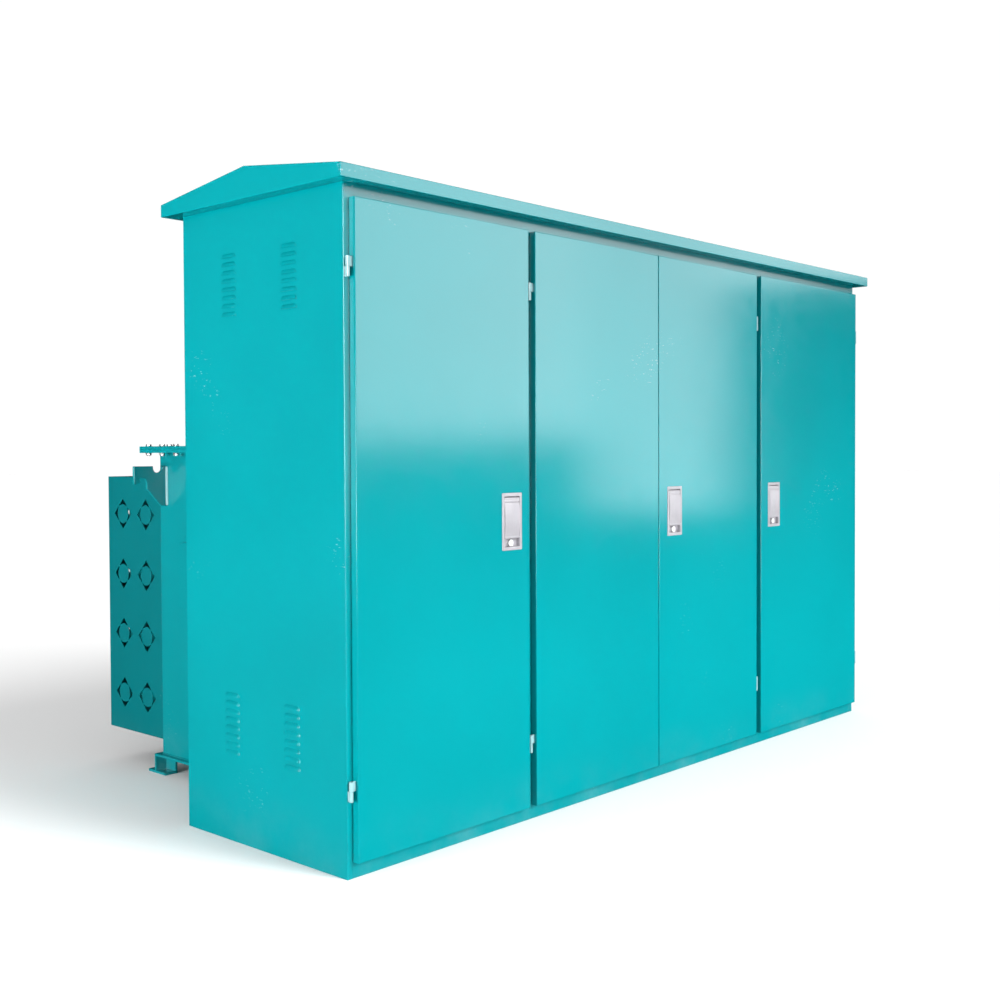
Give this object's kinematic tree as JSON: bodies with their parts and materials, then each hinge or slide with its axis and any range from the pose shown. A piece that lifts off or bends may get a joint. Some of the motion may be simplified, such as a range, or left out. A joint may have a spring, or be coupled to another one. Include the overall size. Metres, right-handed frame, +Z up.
{
  "type": "pad-mounted transformer",
  "caption": "Gabled steel switchgear cabinet with swinging doors on a concrete pad, backed by an oil tank with lifting lugs and guarded radiators.",
  "frame": {"origin": "centre of the unit's footprint box at ground level", "axes": "+X along the cabinet's front to the right, +Y back through the tank, +Z up"},
  "size_m": [3.22, 1.89, 2.098],
  "materials": {
    "paint": "semi-gloss turquoise powder coat with a fine orange-peel",
    "zinc": "bright zinc plate",
    "satin": "satin die-cast, light grey",
    "rubber": "black EPDM strip",
    "copper": "bare copper bar, satin",
    "steel": "plain rolled steel",
    "core_steel": "varnished laminated steel",
    "resin": "brown cast resin",
    "porcelain": "glazed porcelain",
    "black_plastic": "black moulded plastic",
    "grey_plastic": "grey moulded plastic",
    "plate": "brushed aluminium, blank",
    "brass": "machined brass"
  },
  "bodies": {
    "housing": {"base_frame": "paint", "front_frame": "paint", "left_side_panel": "paint", "right_side_panel": "paint", "back_panel": "paint", "partitions": "paint", "roof": "paint", "door_seals": "rubber", "hinge_frame_halves": "paint", "latch_keepers": "zinc", "tank_shell": "paint", "tank_bottom": "paint", "tank_cover": "paint", "cover_gasket": "rubber", "cover_bolts": "zinc", "tank_feet": "paint", "lifting_lugs": "paint", "radiators": "paint", "radiator_valves": "paint", "guard_left": "paint", "guard_right": "paint", "guard_back": "paint", "nameplate_bracket": "paint", "rating_plate": "plate", "core": "core_steel", "windings": "copper", "hv_bushings": "resin", "lv_bushings": "porcelain", "fuse_holders": "grey_plastic", "tank_gauges": "steel", "drain_valve": "brass", "lv_breaker": "grey_plastic", "lv_busbars": "copper", "control_panel": "grey_plastic"},
    "door_1": {"door_1": "paint", "door_1_hinge_halves": "paint", "door_1_handle_bezel": "satin"},
    "door_2": {"door_2": "paint", "door_2_hinge_halves": "paint"},
    "door_3": {"door_3": "paint", "door_3_hinge_halves": "paint", "door_3_handle_bezel": "satin"},
    "door_4": {"door_4": "paint", "door_4_hinge_halves": "paint", "door_4_handle_bezel": "satin"},
    "flap_1": {"door_1_handle_flap": "satin"},
    "lock_1": {"door_1_lock_insert": "satin"},
    "latch_1": {"door_1_latch_bar": "zinc"},
    "flap_3": {"door_3_handle_flap": "satin"},
    "lock_3": {"door_3_lock_insert": "satin"},
    "latch_3": {"door_3_latch_bar": "zinc"},
    "flap_4": {"door_4_handle_flap": "satin"},
    "lock_4": {"door_4_lock_insert": "satin"},
    "latch_4": {"door_4_latch_bar": "zinc"},
    "leaf_bolt_top": {"leaf_bolt_top": "zinc"},
    "leaf_bolt_bottom": {"leaf_bolt_bottom": "zinc"},
    "switch_handle": {"loadbreak_handle": "black_plastic"},
    "tap_knob": {"tap_changer_knob": "black_plastic"},
    "drain_wheel": {"drain_valve_wheel": "steel"},
    "breaker_toggle": {"breaker_toggle": "black_plastic"}
  },
  "joints": [
    {"name": "door_1_swing", "type": "hinge", "parent": "housing", "child": "door_1", "pos_m": [-1.5565, -0.9085, 0], "axis": [0, 0, -1], "range_deg": [0, 100]},
    {"name": "door_2_swing", "type": "hinge", "parent": "housing", "child": "door_2", "pos_m": [-0.7705, -0.9085, 0], "axis": [0, 0, -1], "range_deg": [0, 100]},
    {"name": "door_3_swing", "type": "hinge", "parent": "housing", "child": "door_3", "pos_m": [0.6705, -0.9085, 0], "axis": [0, 0, 1], "range_deg": [0, 100]},
    {"name": "door_4_swing", "type": "hinge", "parent": "housing", "child": "door_4", "pos_m": [1.5565, -0.9085, 0], "axis": [0, 0, 1], "range_deg": [0, 100]},
    {"name": "flap_1_lift", "type": "hinge", "parent": "door_1", "child": "flap_1", "pos_m": [-0.8755, -0.9175, 1.078], "axis": [-1, 0, 0], "range_deg": [0, 45]},
    {"name": "latch_1_slide", "type": "slide", "parent": "door_1", "child": "latch_1", "axis": [0, 0, -1], "range_m": [0, 0.015]},
    {"name": "lock_1_turn", "type": "hinge", "parent": "door_1", "child": "lock_1", "pos_m": [-0.8755, -0.909, 0.934], "axis": [0, 1, 0], "range_deg": [0, 90]},
    {"name": "flap_3_lift", "type": "hinge", "parent": "door_3", "child": "flap_3", "pos_m": [0.0525, -0.9175, 1.078], "axis": [-1, 0, 0], "range_deg": [0, 45]},
    {"name": "latch_3_slide", "type": "slide", "parent": "door_3", "child": "latch_3", "axis": [0, 0, -1], "range_m": [0, 0.015]},
    {"name": "lock_3_turn", "type": "hinge", "parent": "door_3", "child": "lock_3", "pos_m": [0.0525, -0.909, 0.934], "axis": [0, -1, 0], "range_deg": [0, 90]},
    {"name": "flap_4_lift", "type": "hinge", "parent": "door_4", "child": "flap_4", "pos_m": [0.7905, -0.9175, 1.078], "axis": [-1, 0, 0], "range_deg": [0, 45]},
    {"name": "latch_4_slide", "type": "slide", "parent": "door_4", "child": "latch_4", "axis": [0, 0, -1], "range_m": [0, 0.015]},
    {"name": "lock_4_turn", "type": "hinge", "parent": "door_4", "child": "lock_4", "pos_m": [0.7905, -0.909, 0.934], "axis": [0, -1, 0], "range_deg": [0, 90]},
    {"name": "leaf_bolt_top_slide", "type": "slide", "parent": "door_2", "child": "leaf_bolt_top", "axis": [0, 0, 1], "range_m": [0, 0.02]},
    {"name": "leaf_bolt_bottom_slide", "type": "slide", "parent": "door_2", "child": "leaf_bolt_bottom", "axis": [0, 0, -1], "range_m": [0, 0.02]},
    {"name": "switch_turn", "type": "hinge", "parent": "housing", "child": "switch_handle", "pos_m": [0.379, -0.155, 0.86], "axis": [0, -1, 0], "range_deg": [0, 90]},
    {"name": "tap_turn", "type": "hinge", "parent": "housing", "child": "tap_knob", "pos_m": [0.379, -0.125, 0.56], "axis": [0, -1, 0], "range_deg": [-72, 72]},
    {"name": "drain_wheel_turn", "type": "hinge", "parent": "housing", "child": "drain_wheel", "pos_m": [0.379, -0.18, 0.238], "axis": [0, 0, 1], "range_deg": [0, 720]},
    {"name": "toggle_throw", "type": "hinge", "parent": "housing", "child": "breaker_toggle", "pos_m": [-1.1655, -0.422, 1.594], "axis": [1, 0, 0], "range_deg": [-25, 25]}
  ],
  "couplings": [
    {"joint": "lock_1_turn", "follows": "latch_1_slide", "rad_per_m": 104.7},
    {"joint": "lock_3_turn", "follows": "latch_3_slide", "rad_per_m": 104.7},
    {"joint": "lock_4_turn", "follows": "latch_4_slide", "rad_per_m": 104.7}
  ]
}
